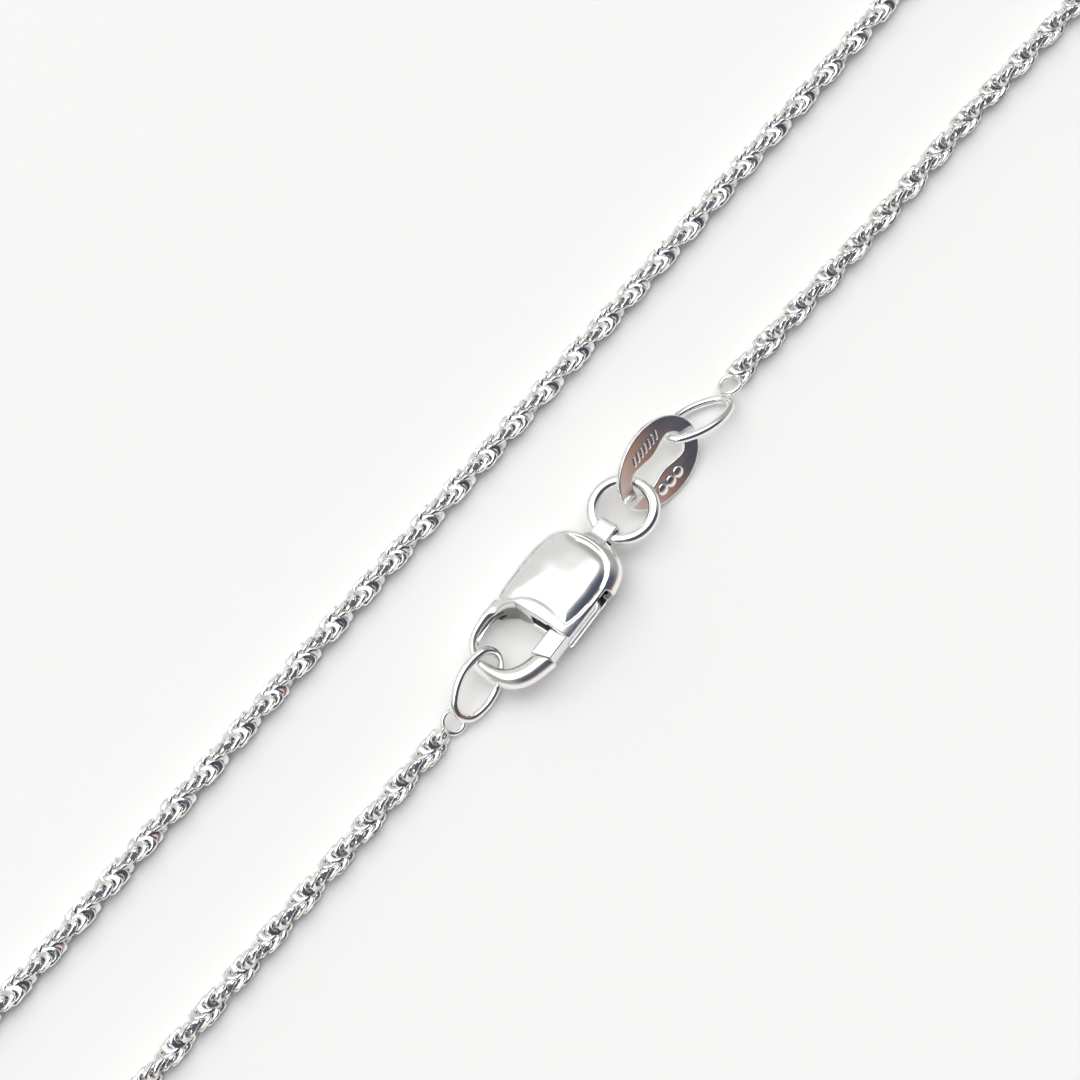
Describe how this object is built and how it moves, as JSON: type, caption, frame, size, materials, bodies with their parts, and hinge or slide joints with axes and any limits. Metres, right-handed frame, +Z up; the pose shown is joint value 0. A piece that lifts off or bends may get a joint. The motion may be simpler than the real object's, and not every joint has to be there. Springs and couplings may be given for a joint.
{
  "type": "rope chain necklace",
  "caption": "Thin twisted rope chain necklace lying as a long closed loop, with oval end links, a slotted tag, a jump ring and a lever clasp.",
  "frame": {"origin": "middle of the footprint, on the surface that the necklace lies on", "axes": "+X along the long closed loop, from the hook end of the clasp towards the tag, +Y across it, +Z up"},
  "size_m": [0.2114, 0.0304, 0.0033],
  "materials": {
    "rope_silver": "polished silver links with small diamond-cut flats",
    "link_silver": "polished silver wire",
    "ring_silver": "polished silver wire",
    "tag_silver": "stamped silver sheet with fine hairlines",
    "clasp_silver": "soft polished silver with faint scuffs",
    "lever_silver": "satin polished silver",
    "pin_steel": "drawn steel wire"
  },
  "bodies": {
    "necklace": {"rope_chain": "rope_silver", "end_link_hook": "link_silver", "end_link_tag": "link_silver", "jump_ring": "ring_silver", "quality_tag": "tag_silver", "clasp_body": "clasp_silver", "lever_pin": "pin_steel"},
    "lever": {"clasp_lever": "lever_silver"}
  },
  "joints": [
    {"name": "lever_hinge", "type": "hinge", "parent": "necklace", "child": "lever", "pos_m": [-0.00155, -0.00549, 0.00171], "axis": [0.0123, -0.2075, -0.9781], "range_deg": [0, 25], "stiffness_Nm_per_rad": 0.004, "springref_deg": -20.05}
  ]
}
